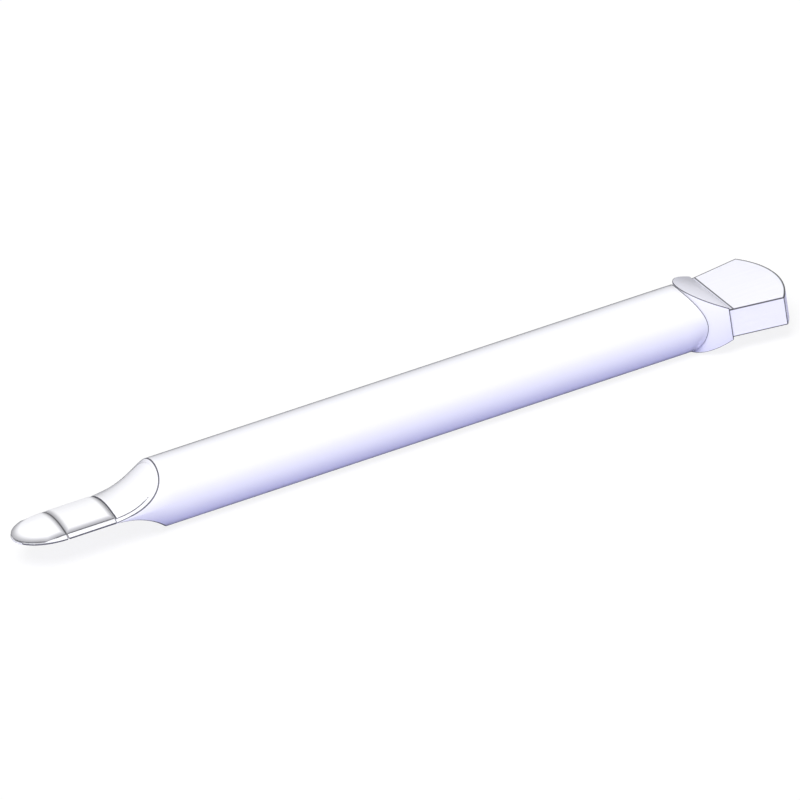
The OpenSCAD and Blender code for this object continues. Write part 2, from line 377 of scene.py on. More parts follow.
@dataclass(frozen=True)
class Finish:
    """One finish of the pen, and how to make its material.

    The light colour and the low roughness go together, where the surface's pattern is at its
    highest. The bump's depth, the grain and the shade line's width are in millimetres. Only suede and
    brush fibre have a border colour and a shade line, both painted shade: a grey band and a dark
    line along a pad's border, and a grey-lilac stretch past the collar's mouth and dark lines along
    the bristle block's edges.
    """

    name: str
    surface: Surface
    light: Colour
    shade: Colour
    rough_low: float
    rough_high: float
    bump: float
    bump_depth: float
    grain: float
    coat: float = 0.0
    sheen: float = 0.0
    subsurface: float = 0.0
    metallic: float = 0.0
    border: Colour = (0.0, 0.0, 0.0)
    shade_line: Colour = (0.0, 0.0, 0.0)
    shade_line_width: float = 0.0

    def material(self, shelf: GroupShelf) -> Material:
        """Builds the material.

        Args:
            shelf: Where the shader groups come from.

        Returns:
            The node material.
        """
        material = bpy.data.materials.new(self.name)
        material.use_nodes = True
        tree = material.node_tree
        shader = tree.nodes["Principled BSDF"]
        mask, height = self.pattern(tree, shelf)
        tint = mix_colours(tree, mask, self.shade, self.light)
        rough = add_node(tree, "ShaderNodeMapRange", {
            "Value": mask, "From Min": 0.3, "From Max": 0.7,
            "To Min": self.rough_high, "To Max": self.rough_low,
        })
        bump = add_node(tree, "ShaderNodeBump", {
            "Strength": self.bump, "Distance": self.bump_depth * MM, "Height": height,
        })
        tree.links.new(self.bordered(tree, shelf, tint), shader.inputs["Base Color"])
        tree.links.new(rough.outputs[0], shader.inputs["Roughness"])
        tree.links.new(bump.outputs[0], shader.inputs["Normal"])
        # What is the same all over the surface is set on the shader itself.
        set_inputs(shader, {
            "Metallic": self.metallic, "Coat Weight": self.coat, "Coat Roughness": 0.06,
            "Sheen Weight": self.sheen, "Sheen Roughness": 0.45,
        })
        if self.subsurface:
            set_inputs(shader, {
                "Subsurface Weight": self.subsurface, "Subsurface Radius": (1.0, 0.9, 0.85),
                "Subsurface Scale": 0.5 * MM,
            })
        return material

    def bordered(self, tree: NodeTree, shelf: GroupShelf, colour: NodeSocket) -> NodeSocket:
        """Paints shade: a grey band on a pad's pressed border, a grey stretch past the collar's mouth,
        and dark lines at the borders and at the trimmed edges of the bristle block.

        Args:
            tree: The material's tree.
            shelf: Where the shader groups come from.
            colour: The colour away from the borders.

        Returns:
            The colour all over. Other surfaces have no such border.
        """
        if self.surface is Surface.FIBRE:
            block = add_node(tree, "ShaderNodeGroup",
                             node_tree=shelf.get(BLOCK_EDGES), name=BLOCK_EDGES)
            inside = block.outputs["Distance"]
            # Painted shade: a grey-lilac tint on the stretch past the collar's mouth.
            colour = mix_colours(tree, block.outputs["In Binding"], colour, self.border)
        elif self.surface is Surface.SUEDE:
            # Painted shade: a grey band along the pad's border that fades inwards.
            inside = add_node(tree, "ShaderNodeAttribute", attribute_name=INSIDE).outputs["Fac"]
            wide = add_node(tree, "ShaderNodeMapRange", {
                "Value": inside, "From Min": 0.0, "From Max": PAD_BORDER,
            }, interpolation_type="SMOOTHSTEP")
            colour = mix_colours(tree, wide.outputs[0], self.border, colour)
        else:
            return colour
        # Painted shade: a dark line right at the border or the edge.
        fine = add_node(tree, "ShaderNodeMapRange", {
            "Value": inside, "From Min": self.shade_line_width / 2, "From Max": self.shade_line_width,
        })
        return mix_colours(tree, fine.outputs[0], self.shade_line, colour)

    def pattern(self, tree: NodeTree, shelf: GroupShelf) -> tuple[NodeSocket, NodeSocket]:
        """Places the group that suits this surface.

        Args:
            tree: The material's tree.
            shelf: Where the groups come from.

        Returns:
            The mask that mixes the two colours, and the height for the bump.
        """
        if self.surface in (Surface.SUEDE, Surface.FOAM):
            group, size, mask = "nap", "Fibre Size", "Shade"
        elif self.surface in (Surface.FIBRE, Surface.STEEL):
            group, size, mask = "streak", "Streak Width", "Streak"
        else:
            group, size, mask = "grain", "Grain Size", "Mottle"
        placed = add_node(tree, "ShaderNodeGroup", {size: self.grain}, node_tree=shelf.get(group))
        return placed.outputs[mask], placed.outputs["Height"]


# Each finish has its slot's name, its surface, its light and shade colours, its low and high
# roughness, its bump's strength and depth, and its grain, before what only some finishes have.
FINISHES: dict[str, Finish] = {finish.name: finish for finish in (
    Finish("sleeve_gloss", Surface.MOULDED, (0.895, 0.895, 0.93), (0.875, 0.875, 0.915),
           0.20, 0.26, 0.06, 0.003, 0.22, coat=0.9, subsurface=0.05),
    Finish("liner_plastic", Surface.MOULDED, (0.80, 0.80, 0.82), (0.76, 0.76, 0.78),
           0.5, 0.6, 0.2, 0.01, 0.2),
    Finish("nose_gloss", Surface.MOULDED, (0.905, 0.905, 0.925), (0.89, 0.89, 0.91),
           0.28, 0.34, 0.08, 0.003, 0.18, coat=0.35, subsurface=0.05),
    Finish("bush_plastic", Surface.MOULDED, (0.74, 0.74, 0.77), (0.70, 0.70, 0.73),
           0.45, 0.55, 0.2, 0.01, 0.2),
    Finish("spring_steel", Surface.STEEL, (0.66, 0.67, 0.69), (0.50, 0.51, 0.53),
           0.24, 0.40, 0.25, 0.004, 0.05, metallic=1.0),
    Finish("blade_rubber", Surface.RUBBERY, (0.86, 0.86, 0.875), (0.83, 0.83, 0.85),
           0.48, 0.58, 0.2, 0.008, 0.12, subsurface=0.08),
    Finish("cushion_foam", Surface.FOAM, (0.74, 0.74, 0.76), (0.58, 0.58, 0.60),
           0.85, 0.95, 0.6, 0.05, 0.12),
    # The pads' border colour and shade line are painted shade: a grey band and a dark line along their
    # borders.
    Finish("pad_microfibre", Surface.SUEDE, (0.925, 0.925, 0.935), (0.84, 0.84, 0.855),
           0.82, 0.95, 0.45, 0.02, 0.055, sheen=0.1,
           border=(0.36, 0.36, 0.375), shade_line=(0.2, 0.2, 0.21), shade_line_width=0.06),
    Finish("collar_satin", Surface.MOULDED, (0.85, 0.85, 0.92), (0.83, 0.83, 0.90),
           0.30, 0.38, 0.14, 0.005, 0.16, coat=0.2, subsurface=0.05),
    Finish("ring_rubber", Surface.RUBBERY, (0.035, 0.035, 0.038), (0.02, 0.02, 0.022),
           0.45, 0.6, 0.3, 0.01, 0.12),
    Finish("root_resin", Surface.RESIN, (0.74, 0.70, 0.58), (0.66, 0.61, 0.48),
           0.4, 0.55, 0.3, 0.02, 0.3, subsurface=0.2),
    # A dark finish for the bevelled edges: painted shade lines.
    Finish("painted_edge_shade", Surface.RUBBERY, (0.12, 0.12, 0.14), (0.09, 0.09, 0.11),
           0.5, 0.6, 0.1, 0.003, 0.2),
    # The bristles' border colour and shade line are painted shade: past the collar's mouth and along
    # the block's edges.
    Finish("bristle_nylon", Surface.FIBRE, (0.89, 0.89, 0.945), (0.80, 0.80, 0.865),
           0.45, 0.55, 0.06, 0.002, 0.09, sheen=0.1,
           border=(0.66, 0.66, 0.73), shade_line=(0.07, 0.07, 0.08), shade_line_width=0.13),
)}


class Palette:
    """Makes each finish's material once."""

    def __init__(self) -> None:
        """Starts with no material made."""
        self.shelf = GroupShelf()
        self.made: dict[str, Material] = {}

    def get(self, slot: str) -> Material:
        """Finds a material, and makes it on its first use.

        Args:
            slot: The record's slot, or another finish's name.

        Returns:
            The material.
        """
        if slot not in self.made:
            self.made[slot] = FINISHES[slot].material(self.shelf)
        return self.made[slot]


# --- Mesh helpers ---


def finish_piece(piece: Object, slot: str, body: str, *nodes: str) -> None:
    """Hides the CAD nodes that a finished piece stands for, hangs the piece on the body that carries
    it, and logs it.

    Args:
        piece: The finished object.
        slot: Not used.
        body: The body that it moves with.
        *nodes: The CAD nodes that it replaces.
    """
    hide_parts(*nodes)
    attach(piece, body)
    LOG.info("%s: %d faces on %s", piece.name, len(piece.data.polygons), body)


def object_from(name: str, mesh: BMesh, material: Material) -> Object:
    """Turns a bmesh into an object in the scene.

    Args:
        name: The object's name.
        mesh: The mesh, which is freed.
        material: The material of every face.

    Returns:
        The new object.
    """
    data = bpy.data.meshes.new(name)
    mesh.to_mesh(data)
    mesh.free()
    data.materials.append(material)
    piece = bpy.data.objects.new(name, data)
    bpy.context.scene.collection.objects.link(piece)
    return piece


def bake_modifiers(piece: Object) -> None:
    """Applies an object's modifiers to its mesh and removes them.

    Args:
        piece: The object.
    """
    graph = bpy.context.evaluated_depsgraph_get()
    baked = bpy.data.meshes.new_from_object(piece.evaluated_get(graph), depsgraph=graph)
    piece.modifiers.clear()
    piece.data = baked


def smooth_by_angle(piece: Object, degrees: float) -> None:
    """Shades the mesh smooth, apart from its sharp edges.

    Args:
        piece: The object.
        degrees: From which angle an edge is sharp.
    """
    mesh = bmesh.new()
    mesh.from_mesh(piece.data)
    limit = math.radians(degrees)
    for face in mesh.faces:
        face.smooth = True
    for edge in mesh.edges:
        if len(edge.link_faces) == 2:
            edge.smooth = edge.calc_face_angle(math.pi) < limit
    mesh.to_mesh(piece.data)
    mesh.free()


def mark_edges(mesh: BMesh, degrees: float, rule: EdgeRule) -> None:
    """Gives bevel weight to sharp edges.

    Args:
        mesh: The mesh.
        degrees: How sharp an edge has to be.
        rule: Gives an edge's weight, from 0 to 1, from its two ends in millimetres.
    """
    weight = mesh.edges.layers.float.new("bevel_weight_edge")
    limit = math.radians(degrees)
    for edge in mesh.edges:
        sharp = len(edge.link_faces) == 2 and edge.calc_face_angle(0.0) > limit
        first, second = (vert.co / MM for vert in edge.verts)
        edge[weight] = float(rule(first, second)) if sharp else 0.0


@dataclass(frozen=True)
class EdgeBreak:
    """Breaks the sharp edges of a piece, as the mould's lips leave them, and paints a fine line of
    shade on the bevels.
    """

    width: float
    segments: int = 2
    sharp_degrees: float = 25.0
    smooth_degrees: float = 32.0

    def apply(self, piece: Object, edge: Material, rule: EdgeRule) -> None:
        """Bevels the edges that the rule weighs, and gives the bevels their own dark material, as
        painted shade.

        Args:
            piece: The piece.
            edge: The material of the broken edges: a dark one, as painted shade.
            rule: Gives each edge's share of the width.
        """
        mesh = bmesh.new()
        mesh.from_mesh(piece.data)
        mark_edges(mesh, self.sharp_degrees, rule)
        mesh.to_mesh(piece.data)
        mesh.free()
        piece.data.materials.append(edge)
        bevel = piece.modifiers.new("broken edges", "BEVEL")
        # The bevels take the dark material, as painted shade lines.
        bevel.material = 1
        bevel.width = self.width * MM
        bevel.segments = self.segments
        bevel.limit_method = "WEIGHT"
        bevel.use_clamp_overlap = False
        bevel.miter_outer = "MITER_ARC"
        bake_modifiers(piece)
        smooth_by_angle(piece, self.smooth_degrees)


def merged_copy(node: str, name: str, material: Material) -> Object:
    """Copies a CAD node with its triangles merged into whole faces.

    Args:
        node: The CAD node.
        name: The new piece's name.
        material: Its material.

    Returns:
        The copy.
    """
    weld, sliver, flat = 0.0005 * MM, 0.0004 * MM, math.radians(0.4)
    mesh = bmesh.new()
    mesh.from_mesh(frame["nodes"][node].data)
    bmesh.ops.remove_doubles(mesh, verts=mesh.verts, dist=weld)
    bmesh.ops.dissolve_degenerate(mesh, dist=sliver, edges=mesh.edges)
    bmesh.ops.dissolve_limit(mesh, angle_limit=flat, verts=mesh.verts, edges=mesh.edges)
    return object_from(name, mesh, material)


def closed_pad(
    name: str,
    cells: tuple[int, int],
    place: Callable[[float, float], tuple[float, float]],
    height: Callable[[float, float, float, float], tuple[float, float]],
    floor: float,
    material: Material,
) -> Object:
    """Builds a closed pad: a shaped top over a flat underside with the same outline.

    Args:
        name: The piece's name.
        cells: How many cells the pad has along the pen and across it.
        place: Gives x and y, in millimetres, for two shares from 0 to 1.
        height: Gives the top's z and the way to the border, for x, y and the two shares.
        floor: The underside's z, in millimetres.
        material: Its material.

    Returns:
        The pad.
    """
    weld, sliver, sharp_degrees = 0.0008 * MM, 0.0005 * MM, 70.0
    rows, columns = cells
    mesh = bmesh.new()
    inside = mesh.verts.layers.float.new(INSIDE)
    top: list[list[BMVert]] = []
    under: list[list[BMVert]] = []
    for row in range(rows + 1):
        along = eased(row / rows)
        top.append([])
        under.append([])
        for column in range(columns + 1):
            across = eased(column / columns)
            x, y = place(along, across)
            rim = row in (0, rows) or column in (0, columns)
            low = mesh.verts.new((x * MM, y * MM, floor * MM))
            under[-1].append(low)
            z, border = height(x, y, along, across)
            top[-1].append(low if rim else mesh.verts.new((x * MM, y * MM, z * MM)))
            top[-1][-1][inside] = border
    for row in range(rows):
        for column in range(columns):
            for grid, turn in ((top, False), (under, True)):
                ring = [grid[row][column], grid[row + 1][column],
                        grid[row + 1][column + 1], grid[row][column + 1]]
                mesh.faces.new(reversed(ring) if turn else ring)
    bmesh.ops.remove_doubles(mesh, verts=mesh.verts, dist=weld)
    bmesh.ops.dissolve_degenerate(mesh, dist=sliver, edges=mesh.edges)
    bmesh.ops.recalc_face_normals(mesh, faces=mesh.faces)
    piece = object_from(name, mesh, material)
    smooth_by_angle(piece, sharp_degrees)
    return piece


def eased(share: float) -> float:
    """Spaces a grid's lines closer together near its two borders."""
    return 0.5 - 0.5 * math.cos(math.pi * share) if 0.0 < share < 1.0 else share


def arc_radius(half_chord: float, rise: float) -> float:
    """Gives the radius of an arc from half its chord and its rise."""
    return (half_chord ** 2 + rise ** 2) / (2 * rise)


def rolled(share: float, reach: float, fullness: float = 2.4) -> float:
    """Gives the height of a rolled border.

    Args:
        share: The place across the pad, from 0 to 1, with a border at either end.
        reach: How far in the border reaches, as a share.
        fullness: How soon the roll rises. At 2 it is a quarter of an ellipse.

    Returns:
        The height, from 0 at the edge to 1 past the border.
    """
    near = min(min(share, 1.0 - share) / reach, 1.0)
    return math.sqrt(max(0.0, 1.0 - (1.0 - near) ** fullness))


# --- Blade ---


@dataclass
class Blade:
    """The padded blade: two elastomer backings and their microfibre pads.

    All sizes are in millimetres. They follow the solids, which the boxes from the frame place. The
    backings' upper edges are broken at a share of the full width. The oval is the tip pad's border
    line, which is wider than the pad by its swell.
    """

    palette: Palette
    crown_radius: float = 10.625
    crown_top: float = 6.25
    dome_radius: float = 17.525
    proud: float = 0.13
    half_width: float = 4.2
    border: float = PAD_BORDER
    pressed: float = 0.2
    least_height: float = 0.01
    least_length: float = 0.5
    oval_swell: float = 1.12
    cells: tuple[int, int] = (88, 100)
    edges: EdgeBreak = EdgeBreak(width=0.24)
    upper_share: float = 0.235
    lower_reach: float = 0.05

    def backing(self) -> None:
        """Makes the middle and tip backings with their bare rims, whose upper edges are crisper."""
        for node in ("blade_middle", "blade_tip"):
            piece = merged_copy(node, f"{node}_backing", self.palette.get("blade_rubber"))
            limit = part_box(node)[0].z / MM + self.lower_reach

            def full_below(first: Vector, second: Vector) -> float:
                """Breaks the lower edges at full width and the upper ones more finely."""
                return 1.0 if max(first.z, second.z) < limit else self.upper_share

            self.edges.apply(piece, self.palette.get("painted_edge_shade"), full_below)
            finish_piece(piece, "blade_rubber", node, node)

    def crown_z(self, y: float) -> float:
        """Gives the middle pad's full height at a place across the pen."""
        radius = self.crown_radius + self.proud
        return self.crown_top - self.crown_radius + math.sqrt(radius ** 2 - y ** 2)

    def dome_z(self, x: float, y: float, tip: float) -> float:
        """Gives the tip pad's full height: a crown turned about the blade's flex line.

        Args:
            x: The place along the pen.
            y: The place across the pen.
            tip: The flex line's place along the pen.

        Returns:
            The height.
        """
        radius = self.crown_radius + self.proud
        ring = self.dome_radius - self.crown_radius + math.sqrt(radius ** 2 - y ** 2)
        return self.crown_top - self.dome_radius + math.sqrt(max(ring ** 2 - (x - tip) ** 2, 0.0))

    def middle_pad(self) -> None:
        """Makes the rectangular pad, crowned, with a soft rolled border."""
        low, high = (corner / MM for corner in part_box("middle_pad"))
        length = high.x - low.x

        def place(along: float, across: float) -> tuple[float, float]:
            """Spreads the shares over the pad's rectangle."""
            return low.x + length * along, self.half_width * (2.0 * across - 1.0)

        def height(x: float, y: float, along: float, across: float) -> tuple[float, float]:
            """Lowers the crown towards the four borders.

            Args:
                x: The place along the pen.
                y: The place across the pen.
                along: The share along the pad.
                across: The share across the pad.

            Returns:
                The top's z, and the way to the border.
            """
            ends = rolled(along, self.border / length)
            sides = rolled(across, self.border / (2 * self.half_width))
            border = min(x - low.x, high.x - x, self.half_width - abs(y))
            return self.crown_z(y) - self.pressed * (1.0 - ends * sides), border

        piece = closed_pad("middle_pad_suede", self.cells, place, height, low.z,
                           self.palette.get("pad_microfibre"))
        finish_piece(piece, "pad_microfibre", "blade_middle", "middle_pad")

    def tip_pad(self) -> None:
        """Makes the rounded pad at the tip, domed down to its floor."""
        low, high = (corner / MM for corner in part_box("tip_pad"))
        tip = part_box("blade_tip")[1].x / MM

        def reach(y: float) -> float:
            """Gives how far the dome runs along the pen before it meets its floor.

            Args:
                y: The place across the pen.

            Returns:
                The dome's length there.
            """
            ring = self.dome_z(tip, y, tip) - self.crown_top + self.dome_radius
            drop = low.z - self.crown_top + self.dome_radius
            return math.sqrt(max(ring ** 2 - drop ** 2, 0.0))

        def place(along: float, across: float) -> tuple[float, float]:
            """Spreads the shares over the dome, from its round end to the flex line."""
            y = self.half_width * (2.0 * across - 1.0)
            return tip - reach(y) * (1.0 - along), y

        def height(x: float, y: float, along: float, across: float) -> tuple[float, float]:
            """Lowers the dome towards the flex line and the sides, not towards its round end.

            Args:
                x: The place along the pen.
                y: The place across the pen.
                along: The share along the pad.
                across: The share across the pad.

            Returns:
                The top's z, and the way to the border.
            """
            back = rolled(max(along, 0.5), self.border / max(reach(y), self.least_length))
            sides = rolled(across, self.border / (2 * self.half_width))
            oval = math.hypot((x - tip) / reach(0.0), y / (self.half_width * self.oval_swell))
            border = min(tip - x, self.half_width - abs(y), (1.0 - oval) * self.half_width)
            dome = self.dome_z(x, y, tip) - self.pressed * (1.0 - back * sides)
            return max(dome, low.z + self.least_height), max(border, 0.0)

        piece = closed_pad("tip_pad_suede", self.cells, place, height, low.z,
                           self.palette.get("pad_microfibre"))
        finish_piece(piece, "pad_microfibre", "blade_tip", "tip_pad")

    def build(self) -> None:
        """Makes every part of the blade that shows."""
        self.backing()
        self.middle_pad()
        self.tip_pad()


# --- Barrel ---


@dataclass
class Barrel:
    """The sleeve and the nose moulding.

    All sizes are in millimetres. Stations along the pen are counted from the sleeve's front end.
    The scoops' edges are broken at a share of the full width, which they reach between two depths
    below the axis. The nose's edges are broken over a share of the neck's length.
    """

    palette: Palette
    radius: float = 5.0
    bore: float = 4.5
    neck_length: float = 8.1
    crown_top: float = 1.25
    under: float = 0.3
    barrel_length: float = 82.2
    shoulder_radius: float = 7.0
    lobe_draft: float = 0.1
    tongue_share: float = 0.66
    plain_inset: float = 1.0
    turns: int = 288
    edges: EdgeBreak = EdgeBreak(width=0.24)
    front_edge_share: float = 0.5
    widening: tuple[float, float] = (1.2, 2.6)
    outside_reach: float = 0.12
    nose_edges: EdgeBreak = EdgeBreak(width=0.16)

    def front_x(self, y: float, z: float) -> float:
        """Gives where the scoops end the wall.

        Args:
            y: The place across the pen.
            z: The height over the axis.

        Returns:
            The station of the wall's front end there.
        """
        crown = arc_radius(self.radius, self.crown_top)
        upper = arc_radius(self.neck_length, self.radius - self.crown_top)
        lower = arc_radius(self.neck_length, self.radius - self.under)
        scoop = upper + crown - math.sqrt(crown ** 2 - y ** 2)
        upper_cut = math.sqrt(max(scoop ** 2 - (self.crown_top + upper - z) ** 2, 0.0))
        lower_cut = math.sqrt(max(lower ** 2 - (z + self.under + lower) ** 2, 0.0))
        return max(upper_cut if z > 0 else 0.0, lower_cut if z < 0 else 0.0)

    def back_x(self, y: float) -> float:
        """Gives where the collar's round shoulder ends the wall, at a place across the pen."""
        centre = self.neck_length + self.barrel_length + self.shoulder_radius
        return centre - math.sqrt(self.shoulder_radius ** 2 - y ** 2)

    def wall_loops(
        self, radius: float, origin: Vector, mesh: BMesh, draft: float = 0.0
    ) -> list[list[BMVert]]:
        """Adds one skin of the sleeve as four loops of vertices.

        Args:
            radius: The skin's radius.
            origin: The sleeve's front end on the axis.
            mesh: The mesh that gets the vertices.
            draft: How much the rear lobes draw in over the length of the collar's shoulder.

        Returns:
            The loops, from front to back.
        """
        loops: list[list[BMVert]] = [[], [], [], []]
        plain = (self.neck_length + self.plain_inset,
                 self.neck_length + self.barrel_length - self.plain_inset)
        for turn in range(self.turns):
            angle = 2 * math.pi * (turn + 0.5) / self.turns
            y, z = radius * math.cos(angle), radius * math.sin(angle)
            front, back = self.front_x(y, z), self.back_x(y)
            tip = 1.0 - draft * (back - plain[1]) / self.shoulder_radius / radius
            for loop, x, share in zip(loops, (front, *plain, back), (1.0, 1.0, 1.0, tip)):
                loop.append(mesh.verts.new((origin + Vector((x, y * share, z * share))) * MM))
        return loops

    def sleeve(self) -> None:
        """Makes the outer sleeve with its scooped tongues and its fish-mouthed back."""
        low, high = (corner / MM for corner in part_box("barrel_sleeve"))
        origin = Vector((low.x, 0.0, (low.z + high.z) / 2))
        mesh = bmesh.new()
        outer = self.wall_loops(self.radius, origin, mesh, self.lobe_draft)
        inner = self.wall_loops(self.bore, origin, mesh)
        rings = outer + inner[::-1]
        for first, second in zip(rings, rings[1:] + rings[:1]):
            for turn in range(self.turns):
                after = (turn + 1) % self.turns
                mesh.faces.new((first[turn], first[after], second[after], second[turn]))
        bmesh.ops.recalc_face_normals(mesh, faces=mesh.faces)
        piece = object_from("barrel_shell", mesh, self.palette.get("sleeve_gloss"))

        def on_outside(first: Vector, second: Vector) -> float:
            """Breaks the outer edges: the lobes' at full width, and the scoops' wider below.

            Args:
                first: One end of the edge, in millimetres.
                second: Its other end.

            Returns:
                The edge's share of the full width.
            """
            limit = self.radius - self.outside_reach
            if min(math.hypot(end.y, end.z - origin.z) for end in (first, second)) <= limit:
                return 0.0
            if first.x > origin.x + self.barrel_length / 2:
                return 1.0
            start, full = self.widening
            depth = origin.z - (first.z + second.z) / 2
            lowness = min(max((depth - start) / (full - start), 0.0), 1.0)
            return self.front_edge_share + (1.0 - self.front_edge_share) * lowness

        self.edges.apply(piece, self.palette.get("painted_edge_shade"), on_outside)
        finish_piece(piece, "sleeve_gloss", "barrel", "barrel_sleeve")

    def nose(self) -> None:
        """Makes the nose moulding; a fine line of painted shade, on a bevelled edge, runs beside each
        tongue, up to the barrel.
        """
        piece = merged_copy("nose", "nose_moulding", self.palette.get("nose_gloss"))
        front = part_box("nose")[0].x / MM

        def beside_tongue(first: Vector, second: Vector) -> float:
            """Breaks the edges that lie in front of the barrel."""
            return float(max(first.x, second.x) < front + self.neck_length * self.tongue_share)

        self.nose_edges.apply(piece, self.palette.get("painted_edge_shade"), beside_tongue)
        finish_piece(piece, "nose_gloss", "barrel", "nose")

    def build(self) -> None:
        """Makes the barrel's pieces that show."""
        self.sleeve()
        self.nose()


# --- Brush ---


# What each grid point keeps for its fibre: its place across and through the block, from -1 to 1,
# how far it is moved across, and how much shorter it is cut.
FIBRE_VALUES = ("across", "through", "shake", "sway")


def bundle_tree(material: Material) -> GroupBuilder:
    """Builds the geometry tree that fills the block with fibres.

    Each fibre starts on a grid at the root, leans out with the flare and ends on the trimmed arc.

    Args:
        material: The fibres' material.

    Returns:
        The builder that holds the finished tree.
    """
    build = GroupBuilder("bristle bundle", "GeometryNodeTree", [
        *(Socket(name, "NodeSocketInt") for name in ("Columns", "Rows", "Seed")),
        *(Socket(name) for name in BLOCK_SIZES),
        Socket("Fibre Radius"), Socket("Scatter"), Socket("Raggedness"),
        Socket("Geometry", "NodeSocketGeometry", inward=False),
    ])
    ins = build.start.outputs
    grid = build.node("GeometryNodeMeshGrid", {
        "Size X": 2.0, "Size Y": 2.0, "Vertices X": ins["Columns"], "Vertices Y": ins["Rows"],
    })
    place = build.node("ShaderNodeSeparateXYZ", {0: build.position()})
    draws = build.node("FunctionNodeRandomValue", {
        "Min": (-1.0, -1.0, -1.0), "Max": (1.0, 1.0, 1.0), "Seed": ins["Seed"],
    }, data_type="FLOAT_VECTOR")
    jitter = build.node("ShaderNodeSeparateXYZ", {0: draws.outputs["Value"]})
    kept = grid.outputs["Mesh"]
    for name, value in zip(FIBRE_VALUES, (*place.outputs[:2], *jitter.outputs[:2])):
        kept = build.node("GeometryNodeStoreNamedAttribute", {
            "Geometry": kept, "Name": name, "Value": value,
        }, data_type="FLOAT", domain="POINT").outputs[0]
    rod = build.node("GeometryNodeMeshCylinder", {
        "Vertices": 6, "Side Segments": 1, "Radius": ins["Fibre Radius"], "Depth": 1.0,
    }, fill_type="NGON")
    laid = build.node("GeometryNodeInstanceOnPoints", {
        "Points": kept, "Instance": rod.outputs["Mesh"],
    })
    real = build.node("GeometryNodeRealizeInstances", {"Geometry": laid.outputs[0]})
    return finish_bundle(build, real.outputs[0], material)


def finish_bundle(build: GroupBuilder, rods: NodeSocket, material: Material) -> GroupBuilder:
    """Sends every rod of the bundle to its place and trims its end to the arc.

    Args:
        build: The tree's builder.
        rods: The realized rods, each standing on its grid point.
        material: The fibres' material.

    Returns:
        The same builder.
    """
    ins, maths = build.start.outputs, build.maths
    here = build.node("ShaderNodeSeparateXYZ", {0: build.position()})
    across, through, shake, sway = (
        build.node(
            "GeometryNodeInputNamedAttribute", {"Name": name}, data_type="FLOAT"
        ).outputs["Attribute"]
        for name in FIBRE_VALUES
    )
    local_y = maths("SUBTRACT", here.outputs[0], across)
    local_z = maths("SUBTRACT", here.outputs[1], through)
    share = maths("ADD", here.outputs[2], 0.5)
    scattered = maths("MULTIPLY_ADD", shake, ins["Scatter"], across)
    base_y = maths("MULTIPLY", scattered, ins["Root Half Width"])
    slope = maths("MULTIPLY", scattered, ins["Flare"])
    # The rod's line y = offset + slope * x, with x from the arc's centre, meets the arc at end_x.
    back = maths("SUBTRACT", ins["End Centre X"], ins["Root X"])
    offset = maths("MULTIPLY_ADD", slope, back, base_y)
    spread = maths("MULTIPLY_ADD", slope, slope, 1.0)
    radius = ins["End Radius"]
    square = maths("MULTIPLY", maths("MULTIPLY", radius, radius), spread)
    root = maths("SQRT", maths("SUBTRACT", square, maths("MULTIPLY", offset, offset)))
    ahead = maths("SUBTRACT", root, maths("MULTIPLY", offset, slope))
    end_x = maths("ADD", ins["End Centre X"], maths("DIVIDE", ahead, spread))
    cut = maths("MULTIPLY", maths("ABSOLUTE", sway), ins["Raggedness"])
    length = maths("SUBTRACT", maths("SUBTRACT", end_x, cut), ins["Root X"])
    x = maths("MULTIPLY_ADD", length, share, ins["Root X"])
    lean = maths("MULTIPLY", maths("MULTIPLY", slope, length), share)
    y = maths("ADD", maths("ADD", base_y, lean), local_y)
    level = maths("MULTIPLY_ADD", through, ins["Half Thickness"], ins["Middle Z"])
    z = maths("ADD", level, local_z)
    metres = [maths("MULTIPLY", part, MM) for part in (x, y, z)]
    moved = build.node("GeometryNodeSetPosition", {
        "Geometry": rods,
        "Position": build.node("ShaderNodeCombineXYZ", dict(enumerate(metres))).outputs[0],
    })
    dressed = build.node("GeometryNodeSetMaterial", {
        "Geometry": moved.outputs[0], "Material": material,
    })
    build.give(Geometry=dressed.outputs[0])
    return build


